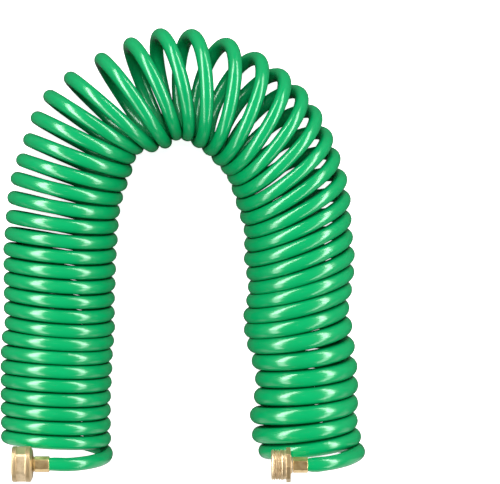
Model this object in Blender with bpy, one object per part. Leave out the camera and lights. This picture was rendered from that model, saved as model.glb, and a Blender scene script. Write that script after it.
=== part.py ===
"""Recoil garden hose bent into an arch and lying on the floor, in metres with +Z up.

The coil lies along the arch. Each end of the hose leaves it in a free half turn and carries
a brass fitting: a swivel nut at the inlet and a threaded male fitting at the outlet.
Both fittings point along -X, and x in their profiles is measured from the mouth.
"""
from math import atan2, cos, hypot, pi, sin, tau

import bmesh
import bpy
import numpy as np

# Hose and coil
HOSE_DIAMETER = 0.0122
COIL_DIAMETER = 0.0990
COIL_SWELL = 0.0090
CLEARANCE = 0.0003
COIL_RINGS = 56
COIL_SIDES = 24

# Middle line of the arch on the floor, from the inlet foot over the top to the outlet foot,
# with the share of COIL_SWELL that the coil opens by at each point
ARCH_POINTS = [
    (-0.1139, -0.1728, 0.08), (-0.1136, -0.0966, 0.15), (-0.1105, -0.0186, 0.25),
    (-0.1071, 0.0369, 0.27), (-0.0948, 0.0847, 0.37), (-0.0804, 0.1143, 0.32),
    (-0.0620, 0.1315, 0.20), (-0.0382, 0.1425, 0.35), (-0.0092, 0.1493, 0.60),
    (0.0205, 0.1443, 0.63), (0.0486, 0.1305, 0.82), (0.0746, 0.1075, 1.00),
    (0.0905, 0.0780, 0.77), (0.1005, 0.0478, 0.64), (0.1066, -0.0121, 0.33),
    (0.1060, -0.0713, 0.02), (0.1106, -0.1378, 0.08), (0.1120, -0.1746, -0.10),
]

# Free half turns, as points that the middle of the hose goes through, from the fitting's mouth
INLET_BEND = [
    (0.0487, -0.0006, -0.0017), (0.0637, -0.0002, -0.0095), (0.0752, 0.0006, -0.0245),
    (0.0802, 0.0016, -0.0455), (0.0785, 0.0034, -0.0655), (0.0665, 0.0062, -0.0855),
]
OUTLET_BEND = [
    (0.0502, 0.0010, -0.0028), (0.0662, 0.0030, -0.0150), (0.0760, 0.0048, -0.0340),
    (0.0785, 0.0054, -0.0550), (0.0755, 0.0055, -0.0735), (0.0659, 0.0056, -0.0890),
]
BEND_SPACING = 0.0125

# Places of the two mouths, with the rise of each fitting's axis above the coil's top
# and its distance in front of the coil's end face
INLET_MOUTH_X = -0.1497
INLET_RISE = 0.0055
INLET_STANDOFF = 0.0130
OUTLET_MOUTH_X = 0.0795
OUTLET_RISE = 0.0100
OUTLET_STANDOFF = 0.0112

# How far apart two lengths may lie and still count as one
TOLERANCE = 0.00002

# Three-quarter inch garden hose thread, shared by both fittings
THREAD_DIAMETER = 0.0270
THREAD_DEPTH = 0.0011
THREAD_PITCH = 0.00221
THREAD_ROWS_PER_TURN = 4
THREAD_SIDES = 48
ROUND_SIDES = 24

# Swivel nut
NUT_DIAMETER = 0.0318
NUT_LENGTH = 0.0180
NUT_FLATS = 0.0282
NUT_FRONT_RIM = 0.0036
NUT_BACK_RIM = 0.0046
NUT_RIM_STEP = 0.0004
NUT_BACK_CHAMFER = 0.0017
NUT_BACK_CHAMFER_DEPTH = 0.0036
NUT_WALL = 0.0033
NUT_MOUTH_CHAMFER = 0.0008
NUT_SIDES = 6
NUT_TURN = 0.13

# Stem inside the nut, and the washer in front of it
STEM_FLANGE_GAP = 0.0011
STEM_FLANGE_THICKNESS = 0.0020
STEM_NECK_DIAMETER = 0.0104
STEM_NECK_SHOWING = 0.0004
COLLAR_DIAMETER = 0.0138
COLLAR_LENGTH = 0.0010
WATERWAY_DIAMETER = 0.0072
SWIVEL_CLEARANCE = 0.0004
WASHER_THICKNESS = 0.0027
WASHER_BORE = 0.0115

# Crimped ferrules
FERRULE_LENGTH = 0.0132
FERRULE_WALL = 0.0007
FERRULE_CRIMP = 0.0003
FERRULE_FLATS = 6

# Male fitting
MALE_THREAD_LENGTH = 0.0094
MALE_RELIEF_LENGTH = 0.0032
MALE_RELIEF_DEPTH = 0.0006
MALE_CHAMFER = 0.0007
MALE_BORE = 0.0150
MALE_BORE_DEPTH = 0.0122
MALE_BORE_TAPER = 0.0022
FLANGE_DIAMETER = 0.0312
FLANGE_THICKNESS = 0.0039
FLANGE_CORNERS = 8
CONE_LENGTH = 0.0016
CONE_STEP = 0.0012


def clear_scene():
    """Remove every object that the file holds."""
    for thing in list(bpy.data.objects):
        bpy.data.objects.remove(thing, do_unlink=True)


def material(name, color, roughness, metallic=0.0):
    """Return a Principled material of one colour."""
    made = bpy.data.materials.new(name)
    made.use_nodes = True
    shader = made.node_tree.nodes["Principled BSDF"]
    shader.inputs["Base Color"].default_value = (*color, 1.0)
    shader.inputs["Roughness"].default_value = roughness
    shader.inputs["Metallic"].default_value = metallic
    return made


def smooth_curve(points, spacing=None, count=None):
    """Read a Catmull-Rom curve through the points as an array of evenly spaced places.

    Either the spacing or the count of the places is given.
    """
    knots = np.asarray(points, dtype=float)
    knots = np.vstack([2 * knots[0] - knots[1], knots, 2 * knots[-1] - knots[-2]])
    t = np.linspace(0.0, 1.0, 24, endpoint=False)[:, None]
    pieces = []
    for a, b, c, d in zip(knots, knots[1:], knots[2:], knots[3:]):
        linear = (c - a) * t
        square = (2 * a - 5 * b + 4 * c - d) * t ** 2
        cube = (3 * b - a - 3 * c + d) * t ** 3
        pieces.append(0.5 * (2 * b + linear + square + cube))
    fine = np.vstack([*pieces, knots[-2:-1]])
    steps = np.linalg.norm(np.diff(fine, axis=0), axis=1)
    along = np.concatenate([[0.0], np.cumsum(steps)])
    places = count or round(along[-1] / spacing) + 1
    wanted = np.linspace(0.0, along[-1], places)
    return np.column_stack([np.interp(wanted, along, column) for column in fine.T])


def finish(name, mesh_builder, place, look, sharp_angle=0.5):
    """Turn a filled bmesh into a smooth shaded object with its material."""
    bmesh.ops.recalc_face_normals(mesh_builder, faces=mesh_builder.faces)
    mesh = bpy.data.meshes.new(name)
    mesh_builder.to_mesh(mesh)
    mesh_builder.free()
    mesh.shade_smooth()
    mesh.set_sharp_from_angle(angle=sharp_angle)
    mesh.materials.append(look)
    thing = bpy.data.objects.new(name, mesh)
    thing.location = place
    bpy.context.scene.collection.objects.link(thing)
    return thing


def coil(look):
    """Model the outer shape of the coil as one fat tube along the arch, lying on the floor."""
    stations = [(x, y, COIL_SWELL * swell) for x, y, swell in ARCH_POINTS]
    path = smooth_curve(stations, count=COIL_RINGS)
    ahead = np.gradient(path[:, :2], axis=0)
    ahead /= np.linalg.norm(ahead, axis=1)[:, None]
    shape = bmesh.new()
    rings = []
    for (x, y, swell), (ahead_x, ahead_y) in zip(path, ahead):
        radius = (COIL_DIAMETER + swell) / 2
        ring = []
        for side in range(COIL_SIDES):
            angle = tau * side / COIL_SIDES
            out = radius * sin(angle)
            up = radius + radius * cos(angle)
            ring.append(shape.verts.new((x + out * ahead_y, y - out * ahead_x, up)))
        rings.append(ring)
    for first, second in zip(rings, rings[1:]):
        bmesh.ops.bridge_loops(shape, edges=loop_edges(shape, first) + loop_edges(shape, second))
    shape.faces.new(rings[0])
    shape.faces.new(rings[-1])
    return finish("coil", shape, (0.0, 0.0, 0.0), look)


def loop_edges(shape, ring):
    """Return the edges that join a ring of vertices, made where they are missing."""
    pairs = zip(ring, ring[1:] + ring[:1])
    return [shape.edges.get(pair) or shape.edges.new(pair) for pair in pairs]


def hose_end(name, mouth, points, look):
    """Model a free stretch of hose, by its points from a mouth, as a tube with filled caps."""
    path = smooth_curve(points, BEND_SPACING) + np.array(mouth)
    curve = bpy.data.curves.new(name, "CURVE")
    curve.dimensions = "3D"
    curve.bevel_depth = HOSE_DIAMETER / 2
    curve.bevel_resolution = 3
    curve.use_fill_caps = True
    spline = curve.splines.new("POLY")
    spline.points.add(len(path) - 1)
    for point, place in zip(spline.points, path):
        point.co = (*place, 1.0)
    curve.materials.append(look)
    thing = bpy.data.objects.new(name, curve)
    bpy.context.scene.collection.objects.link(thing)
    return thing


def turned(name, profile, place, look, sides, reshape=None):
    """Turn a closed profile of (x, radius) points about the X axis.

    reshape(x, radius, angle) gives the radius of each corner of the turned piece,
    which cuts threads and flats.
    """
    shape = bmesh.new()
    corners = [shape.verts.new((x, 0.0, radius)) for x, radius in profile]
    edges = loop_edges(shape, corners)
    bmesh.ops.spin(shape, geom=corners + edges, cent=(0.0, 0.0, 0.0), axis=(1.0, 0.0, 0.0),
                   angle=tau, steps=sides, use_merge=True)
    bmesh.ops.remove_doubles(shape, verts=shape.verts, dist=1e-6)
    if reshape:
        for corner in shape.verts:
            radius = hypot(corner.co.y, corner.co.z)
            angle = atan2(corner.co.z, corner.co.y) % tau
            factor = reshape(corner.co.x, radius, angle) / radius
            corner.co.y *= factor
            corner.co.z *= factor
    return finish(name, shape, place, look)


def near(value, target):
    """Tell whether two lengths count as one."""
    return abs(value - target) < TOLERANCE


def between(x, start, end):
    """Tell whether a place along X lies on a stretch or at one of its ends."""
    return start - TOLERANCE < x < end + TOLERANCE


def polygon_radius(corner_radius, corners, angle):
    """Return the radius at an angle of a regular polygon with a corner at angle 0."""
    half = pi / corners
    return corner_radius * cos(half) / cos(angle % (2 * half) - half)


def thread_groove(x, angle, start, end):
    """Return how deep the thread is cut at a place, with a run-out at both ends."""
    turns = ((x - start) / THREAD_PITCH - angle / tau) % 1.0
    flank = min(max(2.0 * abs(2.0 * turns - 1.0) - 0.5, 0.0), 1.0)
    run_out = min(max(min(x - start, end - x) / THREAD_PITCH, 0.0), 1.0)
    return THREAD_DEPTH * flank * run_out


def thread_rows(start, end):
    """Return the places along X of the rows that a thread is cut on."""
    count = round((end - start) / THREAD_PITCH * THREAD_ROWS_PER_TURN)
    return [start + (end - start) * row / count for row in range(count + 1)]


def nut_inside():
    """Return the socket's depth and radius, and the places of washer and flange in the nut."""
    socket = THREAD_DIAMETER / 2 + CLEARANCE - THREAD_DEPTH
    wall = NUT_LENGTH - NUT_WALL
    flange_back = wall - CLEARANCE
    flange_front = flange_back - STEM_FLANGE_THICKNESS
    washer_back = flange_front - CLEARANCE
    washer_front = washer_back - WASHER_THICKNESS
    return socket, wall, flange_back, flange_front, washer_back, washer_front


def swivel_nut(look, place):
    """Model the inlet's nut: two round rims with six flats between, and a female thread."""
    socket, wall, _, _, _, washer_front = nut_inside()
    rim = NUT_DIAMETER / 2
    band_front = NUT_FRONT_RIM
    band_back = NUT_LENGTH - NUT_BACK_CHAMFER - NUT_BACK_RIM
    hole = STEM_NECK_DIAMETER / 2 + SWIVEL_CLEARANCE
    start = NUT_MOUTH_CHAMFER
    end = washer_front - CLEARANCE
    band = rim - NUT_RIM_STEP
    band_rows = [band_front + NUT_RIM_STEP, band_back - NUT_RIM_STEP]
    profile = [
        (0.0, rim - NUT_MOUTH_CHAMFER), (NUT_MOUTH_CHAMFER, rim), (band_front, rim),
        *[(x, band) for x in band_rows], (band_back, rim), (NUT_LENGTH - NUT_BACK_CHAMFER, rim),
        (NUT_LENGTH, rim - NUT_BACK_CHAMFER_DEPTH), (NUT_LENGTH, hole), (wall, hole), (wall, socket),
        *[(x, socket) for x in reversed(thread_rows(start, end))],
        (0.0, socket + NUT_MOUTH_CHAMFER),
    ]

    def reshape(x, radius, angle):
        if near(radius, band) and between(x, *band_rows):
            corner_radius = NUT_FLATS / 2 / cos(pi / NUT_SIDES)
            return min(radius, polygon_radius(corner_radius, NUT_SIDES, angle + NUT_TURN))
        if near(radius, socket) and between(x, start, end):
            return radius + thread_groove(x, angle, start, end)
        return radius

    return turned("swivel_nut", profile, place, look, THREAD_SIDES, reshape)


def washer(look, place):
    """Model the rubber washer that lies against the stem's flange."""
    socket, _, _, _, back, front = nut_inside()
    outer = socket - CLEARANCE
    inner = WASHER_BORE / 2
    profile = [(front, inner), (front, outer), (back, outer), (back, inner)]
    return turned("inlet_washer", profile, place, look, ROUND_SIDES)


def collar_back(neck_end):
    """Return where a fitting's collar ends and the hose begins behind it."""
    return neck_end + COLLAR_LENGTH


def stem(look, place):
    """Model the inlet's stem: a flange that holds the nut, a neck and a collar."""
    socket, _, flange_back, flange_front, _, _ = nut_inside()
    flange = socket - STEM_FLANGE_GAP
    bore = WATERWAY_DIAMETER / 2
    neck = STEM_NECK_DIAMETER / 2
    collar = COLLAR_DIAMETER / 2
    neck_end = NUT_LENGTH + STEM_NECK_SHOWING
    profile = [
        (flange_front, bore), (flange_front, flange), (flange_back, flange),
        (flange_back, neck), (neck_end, neck),
        (neck_end, collar), (collar_back(neck_end), collar), (collar_back(neck_end), bore),
    ]
    return turned("inlet_stem", profile, place, look, ROUND_SIDES)


def ferrule(name, look, place, start):
    """Model a brass sleeve that is crimped round the hose with six shallow flats."""
    inner = HOSE_DIAMETER / 2 + CLEARANCE
    outer = inner + FERRULE_WALL
    end = start + FERRULE_LENGTH
    lip = FERRULE_WALL / 2
    rows = [start + lip, start + FERRULE_LENGTH / 2, end - lip]
    profile = [
        (start, inner), (start, outer - lip / 2), *[(x, outer) for x in rows],
        (end, outer - lip / 2), (end, inner),
    ]

    def reshape(x, radius, angle):
        if near(radius, outer):
            flats = polygon_radius(outer + FERRULE_CRIMP, FERRULE_FLATS, angle)
            return max(min(radius, flats), outer - FERRULE_CRIMP)
        return radius

    return turned(name, profile, place, look, ROUND_SIDES, reshape)


def outlet_layout():
    """Return where the male fitting's thread, flange and cone end, from its mouth."""
    thread_end = MALE_CHAMFER + MALE_THREAD_LENGTH
    flange_front = thread_end + MALE_RELIEF_LENGTH
    flange_back = flange_front + FLANGE_THICKNESS
    return thread_end, flange_front, flange_back, flange_back + CONE_LENGTH


def outlet_fitting(look, place):
    """Model the outlet: a male thread, a relief groove, an eight-sided flange and a cone."""
    thread_end, flange_front, flange_back, cone_end = outlet_layout()
    crest = THREAD_DIAMETER / 2
    relief = crest - MALE_RELIEF_DEPTH
    flange = FLANGE_DIAMETER / 2
    collar = COLLAR_DIAMETER / 2
    start = MALE_CHAMFER
    bevel = MALE_CHAMFER / 2
    profile = [
        (0.0, MALE_BORE / 2), (0.0, crest - THREAD_DEPTH),
        *[(x, crest) for x in thread_rows(start, thread_end)],
        (thread_end + bevel, relief), (flange_front, relief),
        (flange_front, flange - bevel), (flange_front + bevel, flange),
        (flange_back - bevel, flange), (flange_back, flange - bevel),
        (flange_back, collar + CONE_STEP), (cone_end, collar), (cone_end, WATERWAY_DIAMETER / 2),
        (MALE_BORE_DEPTH + MALE_BORE_TAPER, WATERWAY_DIAMETER / 2), (MALE_BORE_DEPTH, MALE_BORE / 2),
    ]

    def reshape(x, radius, angle):
        if near(radius, crest) and between(x, start, thread_end):
            return radius - thread_groove(x, angle, start, thread_end)
        if radius > crest + bevel:
            return radius / flange * polygon_radius(flange, FLANGE_CORNERS, angle)
        return radius

    return turned("outlet_fitting", profile, place, look, THREAD_SIDES, reshape)


def main():
    """Build every piece of the hose."""
    clear_scene()
    green = material("hose_green", (0.0, 0.42, 0.13), 0.22)
    brass = material("cast_brass", (0.70, 0.50, 0.25), 0.34, 1.0)
    bright_brass = material("bright_brass", (0.80, 0.62, 0.30), 0.22, 1.0)
    rubber = material("washer_rubber", (0.02, 0.02, 0.02), 0.70)

    inlet_face, outlet_face = ARCH_POINTS[0][1], ARCH_POINTS[-1][1]
    inlet = (INLET_MOUTH_X, inlet_face - INLET_STANDOFF, COIL_DIAMETER + INLET_RISE)
    outlet = (OUTLET_MOUTH_X, outlet_face - OUTLET_STANDOFF, COIL_DIAMETER + OUTLET_RISE)
    inlet_hose = collar_back(NUT_LENGTH + STEM_NECK_SHOWING) + CLEARANCE
    outlet_hose = outlet_layout()[-1] + CLEARANCE

    coil(green)
    hose_end("inlet_hose_end", inlet, straight_run(inlet_hose) + INLET_BEND, green)
    hose_end("outlet_hose_end", outlet, straight_run(outlet_hose) + OUTLET_BEND, green)

    swivel_nut(brass, inlet)
    washer(rubber, inlet)
    stem(bright_brass, inlet)
    ferrule("inlet_ferrule", bright_brass, inlet, inlet_hose)
    outlet_fitting(brass, outlet)
    ferrule("outlet_ferrule", bright_brass, outlet, outlet_hose)


def straight_run(hose_start):
    """Return points along the straight hose inside a ferrule, from the collar outwards."""
    return [(hose_start + FERRULE_LENGTH * share, 0.0, 0.0) for share in (0.0, 0.5, 1.0)]


main()
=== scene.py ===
"""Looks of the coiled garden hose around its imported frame, in metres with +Z up.

One tube mesh follows the whole hose: a free half turn from the inlet fitting, the turns of the
coil along the arch, and a free half turn to the outlet fitting. The brass pieces are turned
about the X axis, with x in their profiles measured from the mouth.
"""
from math import cos, pi, radians, sin, tan, tau

import bpy
import numpy as np
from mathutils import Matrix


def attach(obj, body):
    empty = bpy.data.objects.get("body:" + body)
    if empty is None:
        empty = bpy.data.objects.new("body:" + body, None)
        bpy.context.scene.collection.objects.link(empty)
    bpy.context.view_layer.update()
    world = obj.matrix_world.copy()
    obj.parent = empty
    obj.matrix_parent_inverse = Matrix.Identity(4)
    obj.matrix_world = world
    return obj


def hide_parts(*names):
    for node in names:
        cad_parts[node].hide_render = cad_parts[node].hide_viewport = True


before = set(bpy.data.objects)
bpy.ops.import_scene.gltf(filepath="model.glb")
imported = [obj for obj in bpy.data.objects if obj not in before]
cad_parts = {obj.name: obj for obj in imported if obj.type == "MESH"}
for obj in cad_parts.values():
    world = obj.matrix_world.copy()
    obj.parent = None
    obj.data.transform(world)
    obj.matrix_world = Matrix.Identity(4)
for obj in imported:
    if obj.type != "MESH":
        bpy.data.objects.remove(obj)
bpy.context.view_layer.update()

# Camera, from above with a slight tilt, with its lens and sensor in millimetres
CAMERA_DISTANCE = 2.5
CAMERA_TARGET = (0.06075, 0.0083, 0.050)
CAMERA_TILT = radians(3.0)
CAMERA_LENS = 200.0
CAMERA_SENSOR = 36.0
CAMERA_REACH = 20.0

# Hose
HOSE_DIAMETER = 0.0122
CRIMPED_DIAMETER = 0.0114
INLET_EXIT_DIAMETER = 0.0118
OUTLET_EXIT_DIAMETER = 0.0126
EXIT_LENGTH = 0.003
TURN_DIAMETER = 0.088
STEPS_PER_TURN = 64
KNOTS_PER_TURN = 24
HOSE_SIDES = 24
HELIX_START = -0.375
HELIX_END = 48.875

# Turn number, middle of the turn, bearing of its outer side in degrees, width between the
# middles of its outer and inner side, lean of its upper half along the arch, how far both halves
# swing along it, hose thickness. Separate programs fitted these numbers to edges in the
# photograph, and parts of the last three columns were then set one by one.
TURNS = [
    (-1, -0.1145, -0.1848, 174.0, 0.0879, 0.0007, 0.0007, 0.0124),
    (0, -0.1146, -0.1720, 174.1, 0.0880, 0.0005, 0.0005, 0.0124),
    (1, -0.1147, -0.1589, 174.5, 0.0878, 0.0003, 0.0003, 0.0124),
    (2, -0.1149, -0.1460, 174.5, 0.0879, 0.0002, 0.0002, 0.0124),
    (3, -0.1148, -0.1334, 174.4, 0.0880, 0.0002, 0.0002, 0.0124),
    (4, -0.1146, -0.1207, 174.4, 0.0882, 0.0003, 0.0003, 0.0124),
    (5, -0.1141, -0.1081, 174.5, 0.0889, 0.0003, 0.0003, 0.0125),
    (6, -0.1138, -0.0953, 174.1, 0.0892, 0.0001, 0.0001, 0.0125),
    (7, -0.1130, -0.0822, 173.6, 0.0888, -0.0003, -0.0003, 0.0125),
    (8, -0.1110, -0.0697, 173.1, 0.0879, -0.0007, -0.0007, 0.0125),
    (9, -0.1112, -0.0567, 172.6, 0.0888, -0.0008, -0.0008, 0.0125),
    (10, -0.1113, -0.0434, 172.4, 0.0886, -0.0009, -0.0009, 0.0125),
    (11, -0.1111, -0.0303, 172.5, 0.0890, -0.0008, -0.0008, 0.0126),
    (12, -0.1107, -0.0172, 172.6, 0.0897, -0.0008, -0.0008, 0.0126),
    (13, -0.1106, -0.0038, 172.4, 0.0900, -0.0008, -0.0008, 0.0126),
    (14, -0.1096, 0.0098, 171.9, 0.0900, -0.0008, -0.0008, 0.0126),
    (15, -0.1085, 0.0240, 170.6, 0.0901, -0.0008, -0.0008, 0.0126),
    (16, -0.1073, 0.0391, 168.1, 0.0901, -0.0010, -0.0010, 0.0126),
    (17, -0.1047, 0.0539, 165.1, 0.0903, -0.0009, -0.0009, 0.0126),
    (18, -0.1007, 0.0682, 162.0, 0.0898, -0.0007, -0.0007, 0.0126),
    (19, -0.0951, 0.0835, 158.3, 0.0903, -0.0007, -0.0007, 0.0126),
    (20, -0.0898, 0.0994, 153.1, 0.0906, -0.0006, -0.0006, 0.0126),
    (21, -0.0823, 0.1145, 146.1, 0.0884, -0.0005, -0.0005, 0.0126),
    (22, -0.0677, 0.1254, 137.4, 0.0890, -0.0006, -0.0001, 0.0126),
    (23, -0.0465, 0.1339, 124.3, 0.0931, 0.0003, 0.0008, 0.0126),
    (24, -0.0288, 0.1443, 112.9, 0.0907, 0.0029, 0.0009, 0.0126),
    (25, -0.0103, 0.1508, 103.0, 0.0892, 0.0061, 0.0001, 0.0126),
    (26, 0.0090, 0.1477, 91.0, 0.0921, 0.0087, -0.0008, 0.0126),
    (27, 0.0305, 0.1410, 77.8, 0.0917, 0.0108, -0.0015, 0.0126),
    (28, 0.0484, 0.1303, 65.9, 0.0932, 0.0118, -0.0019, 0.0126),
    (29, 0.0632, 0.1184, 57.1, 0.0936, 0.0124, -0.0024, 0.0126),
    (30, 0.0748, 0.1065, 49.6, 0.0933, 0.0125, -0.0023, 0.0126),
    (31, 0.0837, 0.0924, 42.3, 0.0934, 0.0117, -0.0019, 0.0126),
    (32, 0.0905, 0.0766, 35.9, 0.0936, 0.0105, -0.0018, 0.0126),
    (33, 0.0958, 0.0614, 31.4, 0.0929, 0.0092, -0.0018, 0.0126),
    (34, 0.1007, 0.0456, 26.8, 0.0916, 0.0076, -0.0014, 0.0129),
    (35, 0.1036, 0.0302, 22.9, 0.0896, 0.0063, -0.0012, 0.0131),
    (36, 0.1034, 0.0147, 19.6, 0.0896, 0.0053, -0.0007, 0.0132),
    (37, 0.1047, 0.0001, 17.4, 0.0884, 0.0045, -0.0005, 0.0134),
    (38, 0.1067, -0.0144, 15.7, 0.0870, 0.0037, -0.0003, 0.0135),
    (39, 0.1067, -0.0284, 13.6, 0.0851, 0.0032, -0.0003, 0.0138),
    (40, 0.1042, -0.0428, 11.5, 0.0852, 0.0029, -0.0001, 0.0140),
    (41, 0.1024, -0.0577, 9.6, 0.0829, 0.0025, 0.0005, 0.0146),
    (42, 0.1048, -0.0722, 7.1, 0.0823, 0.0019, 0.0009, 0.0153),
    (43, 0.1077, -0.0886, 4.0, 0.0802, 0.0014, 0.0009, 0.0159),
    (44, 0.1110, -0.1058, 2.3, 0.0780, 0.0007, 0.0007, 0.0161),
    (45, 0.1120, -0.1224, 1.9, 0.0776, 0.0005, 0.0005, 0.0161),
    (46, 0.1105, -0.1385, 1.6, 0.0803, 0.0006, 0.0006, 0.0162),
    (47, 0.1090, -0.1552, 2.9, 0.0834, 0.0005, 0.0005, 0.0154),
    (48, 0.1136, -0.1710, 4.5, 0.0818, 0.0002, 0.0002, 0.0142),
    (49, 0.1174, -0.1840, 4.4, 0.0808, 0.0000, 0.0000, 0.0132),
]

# Free half turns, as points that the middle of the hose goes through, and its thickness there
INLET_BEND = [
    (-0.1010, -0.1864, 0.1028, 0.0122), (-0.0860, -0.1860, 0.0950, 0.0123),
    (-0.0745, -0.1852, 0.0800, 0.0124), (-0.0695, -0.1842, 0.0590, 0.0124),
    (-0.0712, -0.1824, 0.0390, 0.0124),
]
OUTLET_BEND = [
    (0.1550, -0.1803, 0.0355, 0.0136), (0.1580, -0.1804, 0.0540, 0.0134),
    (0.1555, -0.1810, 0.0750, 0.0132), (0.1457, -0.1828, 0.0940, 0.0130),
    (0.1297, -0.1848, 0.1062, 0.0128),
]

# Places of the two mouths
INLET_MOUTH = (-0.1497, -0.1858, 0.1045)
OUTLET_MOUTH = (0.0795, -0.1858, 0.1090)

# All brass pieces, with how close two radii lie to count as one
THREAD_RADIUS = 0.0135
THREAD_DEPTH = 0.0011
THREAD_PITCH = 0.00221
WATERWAY_RADIUS = 0.0036
GAP = 0.0003
BRASS_SIDES = 192
SAME_RADIUS = 1e-6

# Swivel nut, with two rims and its flats on the band between them
NUT_RADIUS = 0.0159
NUT_LENGTH = 0.0180
NUT_FLATS = 6
NUT_APOTHEM = 0.0141
NUT_TURN = 0.13
NUT_WALL = 0.0033
NUT_FRONT_CHAMFER = 0.0007
NUT_FRONT_CHAMFER_DEPTH = 0.0008
NUT_BACK_CHAMFER = 0.0017
NUT_BACK_CHAMFER_DEPTH = 0.0036
NUT_BAND_FRONT = 0.0042
NUT_BAND_BACK = 0.0127
NUT_RIM_STEP = 0.0003
NUT_FLATS_INSET = 0.0001
NUT_THREAD_START = 0.0008
NUT_THREAD_END = 0.0091
NUT_THREAD_ROWS = 70
NUT_ROUNDING = 0.0005
# Rows of the nut's lip: place, height over the thread's crest and how proud it stands
NUT_LIP = [(0.0002, 0.0006, 0.3), (0.0, 0.0009, 0.5)]

# Stem in the nut
STEM_FLANGE_RADIUS = 0.0116
STEM_FLANGE_THICKNESS = 0.0020
STEM_NECK_RADIUS = 0.0052
STEM_NECK_SHOWING = 0.0004
STEM_ROUNDING = 0.0003
STEM_SIDES = 96
SWIVEL_CLEARANCE = 0.0004
COLLAR_RADIUS = 0.0069
COLLAR_LENGTH = 0.0010

# Crimped ferrules
FERRULE_LENGTH = 0.0132
FERRULE_FLATS = 6
FERRULE_APOTHEM = 0.00645
FERRULE_CORNER = 0.00705
FERRULE_CREASE = 0.0002
FERRULE_CLEARANCE = 0.0001
FERRULE_FRONT_LIP = 0.0006
FERRULE_BACK_LIP = 0.0007
FERRULE_EDGE = 0.0004
FERRULE_ROWS = 24
INLET_FERRULE_TURN = 0.10
OUTLET_FERRULE_TURN = 0.02

# Male fitting
MALE_THREAD_START = 0.0007
MALE_THREAD_END = 0.0101
MALE_THREAD_ROWS = 84
MALE_MOUTH_EDGE = 0.0002
MALE_MOUTH_CHAMFER = 0.0003
MALE_RELIEF_STEP = 0.0003
MALE_RELIEF_DEPTH = 0.0006
MALE_BORE_RADIUS = 0.0075
MALE_BORE_DEPTH = 0.0122
MALE_BORE_TAPER = 0.0022
MALE_ROUNDING = 0.0004
FLANGE_FRONT = 0.0133
FLANGE_THICKNESS = 0.0039
FLANGE_RADIUS = 0.0156
FLANGE_CORNERS = 8
CONE_LENGTH = 0.0016
CONE_STEP = 0.0012

# Colours as linear red, green and blue, and the roughness of each finish from low to high
HOSE_GREENS = (0.0, 0.385, 0.118), (0.0, 0.420, 0.132)
# Painted shade: darker greens laid into the hose's colour inside the coil and between its turns
HOSE_PAINTED_SHADE_INSIDE_COIL = (0.0, 0.150, 0.040)
HOSE_PAINTED_SHADE_IN_CREVICES = (0.0, 0.110, 0.024)
HOSE_ROUGHNESS = (0.20, 0.23)
CAST_BRASS_COLOURS = (0.71, 0.55, 0.34), (0.48, 0.34, 0.17)
CAST_BRASS_ROUGHNESS = (0.32, 0.46)
BRIGHT_BRASS_COLOURS = (0.84, 0.62, 0.30), (0.55, 0.36, 0.14)
BRIGHT_BRASS_ROUGHNESS = (0.14, 0.26)
BRASS_METALLIC = 0.7
RUBBER_COLOURS = (0.012, 0.012, 0.013), (0.028, 0.028, 0.030)
RUBBER_ROUGHNESS = (0.55, 0.70)

# How far the painted shade inside the coil and between its turns reaches, and the shares of open
# sky between which it fades
COIL_SHADE_REACH = 0.090
COIL_SHADE_SHARES = (0.30, 0.64)
CREVICE_SHADE_REACH = 0.0045
CREVICE_SHADE_SHARES = (0.12, 0.40)

# The values that a noise texture mostly stays between
NOISE_LOW = 0.3
NOISE_HIGH = 0.7

# Studio: floor and card in reflections, glow for the camera, lights
FLOOR_HALF = 3.0
FLOOR_WHITE = (0.95, 0.95, 0.95)
FLOOR_IN_REFLECTIONS = 0.07
CARD_IN_REFLECTIONS = 0.80
CARD_EDGE = (-0.23, -0.20)
FLOOR_GLOW = 0.85
WORLD_LIGHT = 0.36
WORLD_IN_REFLECTIONS = 0.02
OVERHEAD_LIGHT = 3.2
OVERHEAD_DISTANCE = 2.0
OVERHEAD_TILT = radians(-14.0)
OVERHEAD_SPREAD = radians(16.0)
# Side, tilt in degrees, distance and width of the strips
STRIPS = [("left", -46.0, 1.1, 0.38), ("right", 55.0, 1.2, 0.30)]
BRIGHT_STRIP_ENDS = (-0.1, 3.0)
BRIGHT_STRIP_LIGHT = 15.0
DIM_STRIP_ENDS = (-1.6, -0.1)
DIM_STRIP_LIGHT = 6.5


def smooth(places, values, wanted):
    """Hermite cubics through the values, each with the slope that its two neighbours give."""
    slopes = np.gradient(values, places, axis=0)
    k = np.clip(np.searchsorted(places, wanted) - 1, 0, len(places) - 2)
    gap = (places[k + 1] - places[k])[:, None]
    q = (wanted - places[k])[:, None] / gap
    return (
        (2 * q**3 - 3 * q**2 + 1) * values[k] + (q**3 - 2 * q**2 + q) * gap * slopes[k]
        + (3 * q**2 - 2 * q**3) * values[k + 1] + (q**3 - q**2) * gap * slopes[k + 1]
    )


def coil_points(turn):
    """Points of the hose's middle on the coil, and the coil's axis beside each.

    A turn is a circle round the axis with its outer side along the bearing. The sine of the
    turn's angle times the lean tips it along the arch, and the sine's square times the swing
    bows both halves the same way. The axis is as high as the turn and the hose need to rest
    on the floor.
    """
    table = np.array(TURNS)
    x, y, bearing, width, lean, swing, thickness = smooth(table[:, 0], table[:, 1:], turn).T
    bearing, radius = np.radians(bearing), width / 2
    across, rise = np.cos(tau * turn), np.sin(tau * turn)
    height = np.sqrt(radius**2 - lean**2)
    forward = rise * (lean + rise * swing)
    middle_x = x + radius * across * np.cos(bearing) + forward * np.sin(bearing)
    middle_y = y + radius * across * np.sin(bearing) - forward * np.cos(bearing)
    axis_z = height + thickness / 2
    return np.column_stack([middle_x, middle_y, axis_z + height * rise, thickness, x, y, axis_z])


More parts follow.
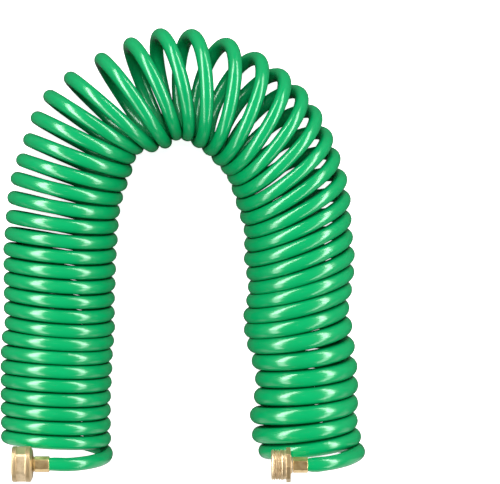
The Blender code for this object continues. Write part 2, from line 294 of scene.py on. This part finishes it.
def straight_run(mouth, start, thickness):
    """Points of the crimped hose in its ferrule and just behind it, from the collar outwards."""
    x, y, z = mouth
    ends = [(start, CRIMPED_DIAMETER), (start + FERRULE_LENGTH * 0.5, CRIMPED_DIAMETER),
            (start + FERRULE_LENGTH, CRIMPED_DIAMETER),
            (start + FERRULE_LENGTH + EXIT_LENGTH, thickness)]
    return [(x + along, y, z, across) for along, across in ends]


def hose_route(inlet_start, outlet_start):
    """Ring centres, thicknesses and axis points of the whole hose, evenly fine along it."""
    knot_count = round((HELIX_END - HELIX_START) * KNOTS_PER_TURN) + 1
    helix = coil_points(np.linspace(HELIX_START, HELIX_END, knot_count))
    inlet_run = straight_run(INLET_MOUTH, inlet_start, INLET_EXIT_DIAMETER)
    outlet_run = straight_run(OUTLET_MOUTH, outlet_start, OUTLET_EXIT_DIAMETER)
    inlet = np.array(inlet_run + INLET_BEND)
    outlet = np.array(outlet_run + OUTLET_BEND[::-1])[::-1]
    inlet = np.column_stack([inlet, np.tile(helix[0, 4:], (len(inlet), 1))])
    outlet = np.column_stack([outlet, np.tile(helix[-1, 4:], (len(outlet), 1))])
    knots = np.vstack([inlet, helix, outlet])
    steps = np.linalg.norm(np.diff(knots[:, :3], axis=0), axis=1)
    along = np.concatenate([[0.0], np.cumsum(steps)])
    spacing = pi * TURN_DIAMETER / STEPS_PER_TURN
    wanted = np.linspace(0.0, along[-1], round(along[-1] / spacing) + 1)
    route = smooth(along, knots, wanted)
    return route[:, :3], route[:, 3], route[:, 4:]


def add_mesh(name, verts, quads, caps, looks, layers):
    """Put arrays of corners and faces into a new smooth mesh that faces out, at the origin."""
    faces = quads.tolist() + caps
    mesh = bpy.data.meshes.new(name)
    mesh.from_pydata(verts.tolist(), [], faces)
    first, second, third = verts[quads[:, 0]], verts[quads[:, 1]], verts[quads[:, 2]]
    fourth = verts[quads[:, 3]]
    volume = np.einsum("ij,ij->i", first, np.cross(second, third)).sum()
    volume += np.einsum("ij,ij->i", first, np.cross(third, fourth)).sum()
    if volume < 0:
        mesh.flip_normals()
    for label, kind, values in layers:
        layer = mesh.attributes.new(label, kind, "POINT")
        layer.data.foreach_set("vector" if kind == "FLOAT_VECTOR" else "value", values.ravel())
    mesh.shade_smooth()
    mesh.materials.append(looks)
    piece = bpy.data.objects.new(name, mesh)
    bpy.context.scene.collection.objects.link(piece)
    return piece


def grid_quads(rows, columns, wrap_rows):
    """Corner numbers of the quads between neighbouring rows, closed round the columns."""
    row = np.arange(rows if wrap_rows else rows - 1)[:, None]
    column = np.arange(columns)[None, :]
    after, beside = (row + 1) % rows, (column + 1) % columns
    corners = [row * columns + column, after * columns + column,
               after * columns + beside, row * columns + beside]
    return np.stack(np.broadcast_arrays(*corners), axis=-1).reshape(-1, 4)


def hose_tube(name, centres, thickness, axis, look):
    """A tube: each ring is a circle square to the route, first corner away from the coil's axis.

    The layer hose_run holds where each corner would lie on the straight hose.
    """
    ahead = np.gradient(centres, axis=0)
    ahead /= np.linalg.norm(ahead, axis=1)[:, None]
    out = centres - axis
    out -= np.einsum("ij,ij->i", out, ahead)[:, None] * ahead
    out /= np.linalg.norm(out, axis=1)[:, None]
    side = np.cross(ahead, out)
    angle = tau * np.arange(HOSE_SIDES) / HOSE_SIDES
    radius = thickness[:, None, None] / 2
    around = (np.cos(angle)[None, :, None] * out[:, None, :]
              + np.sin(angle)[None, :, None] * side[:, None, :])
    verts = (centres[:, None, :] + radius * around).reshape(-1, 3)
    along = np.concatenate([[0.0], np.cumsum(np.linalg.norm(np.diff(centres, axis=0), axis=1))])
    run = np.empty((len(centres), HOSE_SIDES, 3))
    run[..., 0] = np.cos(angle) * HOSE_DIAMETER / 2
    run[..., 1] = np.sin(angle) * HOSE_DIAMETER / 2
    run[..., 2] = along[:, None]
    quads = grid_quads(len(centres), HOSE_SIDES, False)
    last = (len(centres) - 1) * HOSE_SIDES
    caps = [list(range(HOSE_SIDES)), [last + i for i in reversed(range(HOSE_SIDES))]]
    return add_mesh(name, verts, quads, caps, look, [("hose_run", "FLOAT_VECTOR", run)]), along[-1]


def rounded(points, radius, steps=4):
    """Cut each corner of a closed profile back along both edges and carry a parabola across.

    The third column says how sharply the profile turns there: above zero on outer corners.
    """
    points = np.array(points)
    before, after = np.roll(points, 1, axis=0) - points, np.roll(points, -1, axis=0) - points
    short = np.linalg.norm(before, axis=1)[:, None], np.linalg.norm(after, axis=1)[:, None]
    first = points + before * np.minimum(radius / short[0], 0.45)
    third = points + after * np.minimum(radius / short[1], 0.45)
    turn = after[:, 0] * before[:, 1] - after[:, 1] * before[:, 0]
    turn = turn / (short[0] * short[1])[:, 0]
    q = np.linspace(0.0, 1.0, steps + 1)[None, :, None]
    curve = (1 - q) ** 2 * first[:, None] + 2 * q * (1 - q) * points[:, None] + q**2 * third[:, None]
    sharp = np.repeat(turn[:, None, None], steps + 1, axis=1)
    return np.concatenate([curve, sharp], axis=2).reshape(-1, 3)


def turned_piece(name, profile, mouth, look, reshape=None, sides=BRASS_SIDES):
    """A closed profile of x, radius and edge carried round the X axis through the mouth.

    reshape(x, radius, angle) gives each corner's radius, which cuts threads and flats. The
    layer edge holds how proud a corner stands.
    """
    angle = tau * np.arange(sides)[None, :] / sides
    x, radius, edge = (np.repeat(column[:, None], sides, axis=1) for column in profile.T)
    if reshape:
        radius = reshape(x, radius, np.broadcast_to(angle, x.shape))
    verts = np.stack([x, radius * np.cos(angle), radius * np.sin(angle)], axis=-1).reshape(-1, 3)
    verts = verts + np.array(mouth)
    quads = grid_quads(len(profile), sides, True)
    return add_mesh(name, verts, quads, [], look, [("edge", "FLOAT", edge.copy())])


def polygon(apothem, corners, angle):
    """Radius of a regular polygon with a corner at angle 0."""
    half = pi / corners
    return apothem / np.cos(angle % (2 * half) - half)


def soft_min(a, b, width):
    """The lower of two arrays, with the crease between them rounded over a width."""
    mix = np.clip(0.5 + 0.5 * (b - a) / width, 0.0, 1.0)
    return b + (a - b) * mix - width * mix * (1 - mix)


def thread_cut(x, angle, start, end):
    """Depth of the thread's groove: flat crest and root with sloping flanks along a helix."""
    turns = ((x - start) / THREAD_PITCH - angle / tau) % 1.0
    flank = np.clip(2.2 * np.abs(2.0 * turns - 1.0) - 0.6, 0.0, 1.0)
    flank = flank * flank * (3 - 2 * flank)
    run_out = np.clip(np.minimum(x - start, end - x) / THREAD_PITCH, 0.0, 1.0)
    return THREAD_DEPTH * flank * run_out


def rows_between(start, end, radius, count):
    """Profile rows at one radius, evenly spaced between two places."""
    x = np.linspace(start, end, count)
    return np.column_stack([x, np.full(count, radius), np.zeros(count)])


def swivel_nut(look):
    """The nut: two rims, six flats between them, chamfered ends and a thread in its mouth."""
    socket = THREAD_RADIUS + GAP - THREAD_DEPTH
    wall = NUT_LENGTH - NUT_WALL
    hole = STEM_NECK_RADIUS + SWIVEL_CLEARANCE
    band = NUT_RADIUS - NUT_RIM_STEP
    outside = rounded([
        (0.0, NUT_RADIUS - NUT_FRONT_CHAMFER_DEPTH), (NUT_FRONT_CHAMFER, NUT_RADIUS),
        (NUT_BAND_FRONT, NUT_RADIUS), (NUT_BAND_FRONT + NUT_RIM_STEP, band),
        (NUT_BAND_BACK - NUT_RIM_STEP, band), (NUT_BAND_BACK, NUT_RADIUS),
        (NUT_LENGTH - NUT_BACK_CHAMFER, NUT_RADIUS),
        (NUT_LENGTH, NUT_RADIUS - NUT_BACK_CHAMFER_DEPTH),
        (NUT_LENGTH, hole), (wall, hole), (wall, socket),
    ], NUT_ROUNDING)
    inside = rows_between(NUT_THREAD_END, NUT_THREAD_START, socket, NUT_THREAD_ROWS)
    lip = np.array(NUT_LIP) + (0.0, socket, 0.0)
    profile = np.vstack([outside, inside, lip])

    def reshape(x, radius, angle):
        flats = polygon(NUT_APOTHEM, NUT_FLATS, angle + NUT_TURN)
        on_band = np.minimum(x - NUT_BAND_FRONT, NUT_BAND_BACK - x) - NUT_FLATS_INSET
        cut = np.clip(on_band / NUT_RIM_STEP, 0.0, 1.0)
        banded = radius + cut * (np.minimum(radius, flats) - radius)
        grooved = radius + thread_cut(x, angle, NUT_THREAD_START, NUT_THREAD_END)
        return np.where(np.abs(radius - socket) < SAME_RADIUS, grooved, banded)

    return turned_piece("nut_body", profile, INLET_MOUTH, look, reshape)


def stem(look):
    """The inlet's stem: a flange inside the nut, a bright neck and a collar on the ferrule."""
    back = NUT_LENGTH - NUT_WALL - GAP
    front = back - STEM_FLANGE_THICKNESS
    neck_end = NUT_LENGTH + STEM_NECK_SHOWING
    end = neck_end + COLLAR_LENGTH
    profile = rounded([
        (front, WATERWAY_RADIUS), (front, STEM_FLANGE_RADIUS), (back, STEM_FLANGE_RADIUS),
        (back, STEM_NECK_RADIUS), (neck_end, STEM_NECK_RADIUS), (neck_end, COLLAR_RADIUS),
        (end, COLLAR_RADIUS), (end, WATERWAY_RADIUS),
    ], STEM_ROUNDING)
    return turned_piece("stem_body", profile, INLET_MOUTH, look, sides=STEM_SIDES), end


def ferrule(name, mouth, start, turn, look):
    """A sleeve crimped to six flats, with its two ends left round."""
    inner = CRIMPED_DIAMETER / 2 + FERRULE_CLEARANCE
    end = start + FERRULE_LENGTH
    outer = rows_between(start + FERRULE_EDGE, end - FERRULE_EDGE, FERRULE_CORNER, FERRULE_ROWS)
    profile = np.vstack([
        [(start, inner, 0.2), (start, inner + FERRULE_FRONT_LIP, 0.6)], outer,
        [(end, inner + FERRULE_BACK_LIP, 0.9), (end, inner, 0.4)],
    ])

    def reshape(x, radius, angle):
        flats = polygon(FERRULE_APOTHEM, FERRULE_FLATS, angle + turn)
        flats = soft_min(flats, FERRULE_CORNER, FERRULE_CREASE)
        return np.where(np.abs(radius - FERRULE_CORNER) < SAME_RADIUS, flats, radius)

    return turned_piece(name, profile, mouth, look, reshape)


def male_fitting(look):
    """The outlet: a male thread, a smooth relief, an eight-sided flange and a short cone."""
    flange_back = FLANGE_FRONT + FLANGE_THICKNESS
    cone_end = flange_back + CONE_LENGTH
    root = THREAD_RADIUS - THREAD_DEPTH
    relief = THREAD_RADIUS - MALE_RELIEF_DEPTH
    front = np.array([
        (0.0, MALE_BORE_RADIUS, 0.0), (0.0, root - MALE_MOUTH_CHAMFER, 0.3),
        (MALE_MOUTH_EDGE, root, 0.8),
    ])
    thread = rows_between(MALE_THREAD_START, MALE_THREAD_END, THREAD_RADIUS, MALE_THREAD_ROWS)
    behind = rounded([
        (MALE_THREAD_END + MALE_RELIEF_STEP, relief), (FLANGE_FRONT, relief),
        (FLANGE_FRONT, FLANGE_RADIUS), (flange_back, FLANGE_RADIUS),
        (flange_back, COLLAR_RADIUS + CONE_STEP), (cone_end, COLLAR_RADIUS),
        (cone_end, WATERWAY_RADIUS), (MALE_BORE_DEPTH + MALE_BORE_TAPER, WATERWAY_RADIUS),
        (MALE_BORE_DEPTH, MALE_BORE_RADIUS),
    ], MALE_ROUNDING)
    profile = np.vstack([front, thread, behind])
    flange_apothem = FLANGE_RADIUS * cos(pi / FLANGE_CORNERS)

    def reshape(x, radius, angle):
        cut = radius - thread_cut(x, angle, MALE_THREAD_START, MALE_THREAD_END)
        sided = radius / FLANGE_RADIUS * polygon(flange_apothem, FLANGE_CORNERS, angle)
        sided = np.where(radius > THREAD_RADIUS + SAME_RADIUS, sided, radius)
        return np.where(np.abs(radius - THREAD_RADIUS) < SAME_RADIUS, cut, sided)

    return turned_piece("male_body", profile, OUTLET_MOUTH, look, reshape), cone_end


def shader_group(name, inputs, outputs):
    """A new node group with named sockets, and its input and output nodes."""
    group = bpy.data.node_groups.new(name, "ShaderNodeTree")
    for label, kind, value in inputs:
        socket = group.interface.new_socket(label, in_out="INPUT", socket_type=kind)
        if value is not None:
            socket.default_value = value
    for label, kind in outputs:
        group.interface.new_socket(label, in_out="OUTPUT", socket_type=kind)
    return group, group.nodes.new("NodeGroupInput"), group.nodes.new("NodeGroupOutput")


def noise(tree, vector, scale, detail=2.0):
    """A noise texture on a vector, as its value between about 0.3 and 0.7."""
    node = tree.nodes.new("ShaderNodeTexNoise")
    node.inputs["Scale"].default_value = scale
    node.inputs["Detail"].default_value = detail
    tree.links.new(vector, node.inputs["Vector"])
    return node.outputs["Fac"]


def stretched(tree, vector, scale):
    """A vector multiplied by its own scale along each axis."""
    node = tree.nodes.new("ShaderNodeMapping")
    node.inputs["Scale"].default_value = scale
    tree.links.new(vector, node.inputs["Vector"])
    return node.outputs["Vector"]


def ramped(tree, value, low, high, out_low=0.0, out_high=1.0):
    """A value carried from one range to another, held at the ends."""
    node = tree.nodes.new("ShaderNodeMapRange")
    labels = ("From Min", "From Max", "To Min", "To Max")
    for label, number in zip(labels, (low, high, out_low, out_high)):
        node.inputs[label].default_value = number
    tree.links.new(value, node.inputs["Value"])
    return node.outputs["Result"]


def maths(tree, operation, first, second):
    """One arithmetic step between sockets or numbers."""
    node = tree.nodes.new("ShaderNodeMath")
    node.operation = operation
    for socket, value in zip(node.inputs, (first, second)):
        if isinstance(value, float):
            socket.default_value = value
        else:
            tree.links.new(value, socket)
    return node.outputs["Value"]


def mixed(tree, share, first, second):
    """A colour between two others, which are sockets or colours, by a share from a socket."""
    node = tree.nodes.new("ShaderNodeMix")
    node.data_type = "RGBA"
    sockets = (node.inputs[0], node.inputs[6], node.inputs[7])
    for socket, value in zip(sockets, (share, first, second)):
        if isinstance(value, tuple):
            socket.default_value = (*value, 1.0)
        else:
            tree.links.new(value, socket)
    return node.outputs[2]


def uneven_surface():
    """Group: slow patches and fine grain over any surface, as a shade and a height."""
    group, source, sink = shader_group(
        "uneven_surface",
        [("Position", "NodeSocketVector", None), ("Grain", "NodeSocketFloat", 0.3)],
        [("Shade", "NodeSocketFloat"), ("Height", "NodeSocketFloat")],
    )
    position = source.outputs["Position"]
    patches = ramped(group, noise(group, position, 45.0), NOISE_LOW, NOISE_HIGH)
    grain = ramped(group, noise(group, position, 2600.0), NOISE_LOW, NOISE_HIGH)
    scaled = maths(group, "MULTIPLY", grain, source.outputs["Grain"])
    group.links.new(patches, sink.inputs["Shade"])
    group.links.new(maths(group, "ADD", patches, scaled), sink.inputs["Height"])
    return group


def turning_marks():
    """Group: the rings that a lathe leaves, as noise that is fine along X and long round it.

    Tarnish lies in slow patches and in hollows, and the worn edge on corners that stand proud.
    """
    group, source, sink = shader_group(
        "turning_marks",
        [("Position", "NodeSocketVector", None), ("Edge", "NodeSocketFloat", 0.0)],
        [("Rings", "NodeSocketFloat"), ("Tarnish", "NodeSocketFloat"), ("Worn edge", "NodeSocketFloat")],
    )
    lathe = stretched(group, source.outputs["Position"], (5200.0, 160.0, 160.0))
    rings = ramped(group, noise(group, lathe, 1.0, 3.0), NOISE_LOW, NOISE_HIGH)
    patches = ramped(group, noise(group, source.outputs["Position"], 260.0, 4.0), 0.42, 0.72)
    hollow = ramped(group, source.outputs["Edge"], 0.0, -1.0)
    worn = ramped(group, source.outputs["Edge"], 0.2, 1.0)
    group.links.new(rings, sink.inputs["Rings"])
    group.links.new(maths(group, "MAXIMUM", patches, hollow), sink.inputs["Tarnish"])
    group.links.new(maths(group, "MULTIPLY", worn, rings), sink.inputs["Worn edge"])
    return group


def new_material(name):
    """A new material, its node tree and its Principled shader."""
    made = bpy.data.materials.new(name)
    made.use_nodes = True
    return made, made.node_tree, made.node_tree.nodes["Principled BSDF"]


def placed_group(tree, group):
    """A shader group's node in a material."""
    node = tree.nodes.new("ShaderNodeGroup")
    node.node_tree = group
    return node


def bumped(tree, shader, height, distance, strength):
    """A bump from a height into the shader's normal."""
    bump = tree.nodes.new("ShaderNodeBump")
    bump.inputs["Distance"].default_value = distance
    bump.inputs["Strength"].default_value = strength
    tree.links.new(height, bump.inputs["Height"])
    tree.links.new(bump.outputs["Normal"], shader.inputs["Normal"])


def openness(tree, distance):
    """How little of the object's own surface lies over a place, within a distance."""
    node = tree.nodes.new("ShaderNodeAmbientOcclusion")
    node.only_local = True
    node.samples = 8
    node.inputs["Distance"].default_value = distance
    return node.outputs["AO"]


def glossy_hose(uneven):
    """Green plastic tube: faint drawing lines along it and a clear gloss.

    Its colour is darkened with painted shade inside the coil and between the turns, by given shares.
    """
    made, tree, shader = new_material("glossy_hose")
    run = tree.nodes.new("ShaderNodeAttribute")
    run.attribute_name = "hose_run"
    group = placed_group(tree, uneven)
    tree.links.new(run.outputs["Vector"], group.inputs["Position"])
    drawn = stretched(tree, run.outputs["Vector"], (900.0, 900.0, 9.0))
    lines = ramped(tree, noise(tree, drawn, 1.0), NOISE_LOW, NOISE_HIGH)
    shade = mixed(tree, group.outputs["Shade"], *HOSE_GREENS)
    # Painted shade: the green darkens where the hose's own turns hide the sky, inside the coil and
    # between the turns
    open_coil = ramped(tree, openness(tree, COIL_SHADE_REACH), *COIL_SHADE_SHARES)
    shade = mixed(tree, open_coil, HOSE_PAINTED_SHADE_INSIDE_COIL, shade)
    open_crevice = ramped(tree, openness(tree, CREVICE_SHADE_REACH), *CREVICE_SHADE_SHARES)
    shade = mixed(tree, open_crevice, HOSE_PAINTED_SHADE_IN_CREVICES, shade)
    tree.links.new(shade, shader.inputs["Base Color"])
    tree.links.new(ramped(tree, lines, 0.0, 1.0, *HOSE_ROUGHNESS), shader.inputs["Roughness"])
    height = maths(tree, "ADD", maths(tree, "MULTIPLY", lines, 0.3), group.outputs["Height"])
    bumped(tree, shader, height, 0.00002, 0.1)
    shader.inputs["IOR"].default_value = 1.5
    return made


def brass(name, marks, colours, roughness):
    """Turned brass: lathe rings, darker hollows and brighter worn edges."""
    light, dark = colours
    made, tree, shader = new_material(name)
    position = tree.nodes.new("ShaderNodeTexCoord").outputs["Object"]
    edge = tree.nodes.new("ShaderNodeAttribute")
    edge.attribute_name = "edge"
    group = placed_group(tree, marks)
    tree.links.new(position, group.inputs["Position"])
    tree.links.new(edge.outputs["Fac"], group.inputs["Edge"])
    base = mixed(tree, group.outputs["Tarnish"], light, dark)
    bright = tuple(min(1.0, 1.1 * value) for value in light)
    tree.links.new(mixed(tree, group.outputs["Worn edge"], base, bright), shader.inputs["Base Color"])
    rough = ramped(tree, group.outputs["Rings"], 0.0, 1.0, *roughness)
    tree.links.new(rough, shader.inputs["Roughness"])
    shader.inputs["Metallic"].default_value = BRASS_METALLIC
    bumped(tree, shader, group.outputs["Rings"], 0.00003, 0.35)
    return made


def washer_rubber(uneven):
    """Black rubber with a fine grain."""
    made, tree, shader = new_material("washer_rubber")
    group = placed_group(tree, uneven)
    group.inputs["Grain"].default_value = 1.0
    tree.links.new(tree.nodes.new("ShaderNodeTexCoord").outputs["Object"], group.inputs["Position"])
    tree.links.new(mixed(tree, group.outputs["Shade"], *RUBBER_COLOURS), shader.inputs["Base Color"])
    rough = ramped(tree, group.outputs["Shade"], 0.0, 1.0, *RUBBER_ROUGHNESS)
    tree.links.new(rough, shader.inputs["Roughness"])
    bumped(tree, shader, group.outputs["Height"], 0.00004, 0.5)
    return made


def hung_lamp(name, kind, tilt, distance, power):
    """A lamp that hangs over the hose, tilted from straight above towards +X, facing the hose."""
    lamp = bpy.data.lights.new(name, kind)
    lamp.energy = power
    thing = bpy.data.objects.new(name, lamp)
    thing.location = (distance * sin(tilt), 0.0, distance * cos(tilt))
    thing.rotation_euler = (0.0, tilt, 0.0)
    bpy.context.scene.collection.objects.link(thing)
    return thing


def strip_light(name, tilt, distance, width, ends, brightness):
    """A long strip light along Y, between two ends, that shows in reflections alone."""
    front, back = ends
    thing = hung_lamp(name, "AREA", tilt, distance, 4.0 * width * (back - front) * brightness)
    thing.location.y = (front + back) / 2
    thing.data.shape = "RECTANGLE"
    thing.data.size, thing.data.size_y = width, back - front
    thing.visible_diffuse = False


def seen_by(tree, ray, plain, other):
    """A number that differs for one kind of ray, such as Is Glossy Ray."""
    rays = tree.nodes.new("ShaderNodeLightPath")
    return ramped(tree, rays.outputs[ray], 0.0, 1.0, plain, other)


def studio():
    """White floor under an even light from above, and a bright and a dim strip on either side.

    Unlike a real studio, the floor and the world are dark in reflections, apart from a white
    card on the floor in front of the fittings, which shows in reflections alone. The strips
    show in reflections alone too, and the overhead light doesn't show in them. The floor glows
    for the camera alone.
    """
    floor = bpy.data.meshes.new("floor")
    half = FLOOR_HALF
    corners = [(-half, -half, 0), (half, -half, 0), (half, half, 0), (-half, half, 0)]
    floor.from_pydata(corners, [], [(0, 1, 2, 3)])
    made, tree, shader = new_material("floor_paper")
    place = tree.nodes.new("ShaderNodeSeparateXYZ")
    tree.links.new(tree.nodes.new("ShaderNodeTexCoord").outputs["Object"], place.inputs["Vector"])
    card = ramped(tree, place.outputs["Y"], *CARD_EDGE, CARD_IN_REFLECTIONS, FLOOR_IN_REFLECTIONS)
    paper = mixed(tree, seen_by(tree, "Is Glossy Ray", 0.0, 1.0), FLOOR_WHITE, card)
    tree.links.new(paper, shader.inputs["Base Color"])
    shader.inputs["Roughness"].default_value = 0.9
    shader.inputs["Specular IOR Level"].default_value = 0.1
    shader.inputs["Emission Color"].default_value = (1.0, 1.0, 1.0, 1.0)
    glow = seen_by(tree, "Is Camera Ray", 0.0, FLOOR_GLOW)
    tree.links.new(glow, shader.inputs["Emission Strength"])
    floor.materials.append(made)
    thing = bpy.data.objects.new("floor", floor)
    bpy.context.scene.collection.objects.link(thing)
    world = bpy.data.worlds.new("studio")
    world.use_nodes = True
    background = world.node_tree.nodes["Background"]
    background.inputs["Color"].default_value = (1.0, 1.0, 1.0, 1.0)
    dim = seen_by(world.node_tree, "Is Glossy Ray", WORLD_LIGHT, WORLD_IN_REFLECTIONS)
    world.node_tree.links.new(dim, background.inputs["Strength"])
    bpy.context.scene.world = world
    overhead = hung_lamp("overhead_light", "SUN", 0.0, OVERHEAD_DISTANCE, OVERHEAD_LIGHT)
    overhead.rotation_euler = (OVERHEAD_TILT, 0.0, 0.0)
    overhead.data.angle = OVERHEAD_SPREAD
    overhead.visible_glossy = False
    for side, degrees, distance, width in STRIPS:
        tilt = radians(degrees)
        strip_light(side + "_strip", tilt, distance, width, BRIGHT_STRIP_ENDS, BRIGHT_STRIP_LIGHT)
        strip_light(side + "_dim_strip", tilt, distance, width, DIM_STRIP_ENDS, DIM_STRIP_LIGHT)


def camera():
    """The camera over the hose, tilted a little towards the top of the arch."""
    data = bpy.data.cameras.new("camera")
    data.lens = CAMERA_LENS
    data.sensor_width = CAMERA_SENSOR
    data.clip_end = CAMERA_REACH
    x, y, z = CAMERA_TARGET
    thing = bpy.data.objects.new("camera", data)
    thing.location = (x, y + CAMERA_DISTANCE * tan(CAMERA_TILT), z + CAMERA_DISTANCE)
    thing.rotation_euler = (-CAMERA_TILT, 0.0, 0.0)
    bpy.context.scene.collection.objects.link(thing)
    bpy.context.scene.camera = thing


camera()
bpy.context.scene.view_settings.view_transform = "Standard"

uneven = uneven_surface()
marks = turning_marks()
hose_look = glossy_hose(uneven)
cast_brass = brass("cast_brass", marks, CAST_BRASS_COLOURS, CAST_BRASS_ROUGHNESS)
bright_brass = brass("bright_brass", marks, BRIGHT_BRASS_COLOURS, BRIGHT_BRASS_ROUGHNESS)

stem_body, inlet_back = stem(bright_brass)
male_body, outlet_back = male_fitting(cast_brass)
inlet_start, outlet_start = inlet_back + GAP, outlet_back + GAP
nut_body = swivel_nut(cast_brass)
inlet_sleeve = ferrule(
    "inlet_sleeve", INLET_MOUTH, inlet_start, INLET_FERRULE_TURN, bright_brass
)
outlet_sleeve = ferrule(
    "outlet_sleeve", OUTLET_MOUTH, outlet_start, OUTLET_FERRULE_TURN, bright_brass
)

centres, thickness, axis = hose_route(inlet_start, outlet_start)
hose, hose_length = hose_tube("hose_tube", centres, thickness, axis, hose_look)

for node, piece, body, slot in [
    ("swivel_nut", nut_body, "nut", "cast_brass"),
    ("inlet_stem", stem_body, "hose", "bright_brass"),
    ("inlet_ferrule", inlet_sleeve, "hose", "bright_brass"),
    ("outlet_fitting", male_body, "hose", "cast_brass"),
    ("outlet_ferrule", outlet_sleeve, "hose", "bright_brass"),
]:
    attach(piece, body)
    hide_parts(node)
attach(hose, "hose")
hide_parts("coil", "inlet_hose_end", "outlet_hose_end")

rubber = washer_rubber(uneven)
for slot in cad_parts["inlet_washer"].material_slots:
    slot.link = "OBJECT"
    slot.material = rubber

studio()
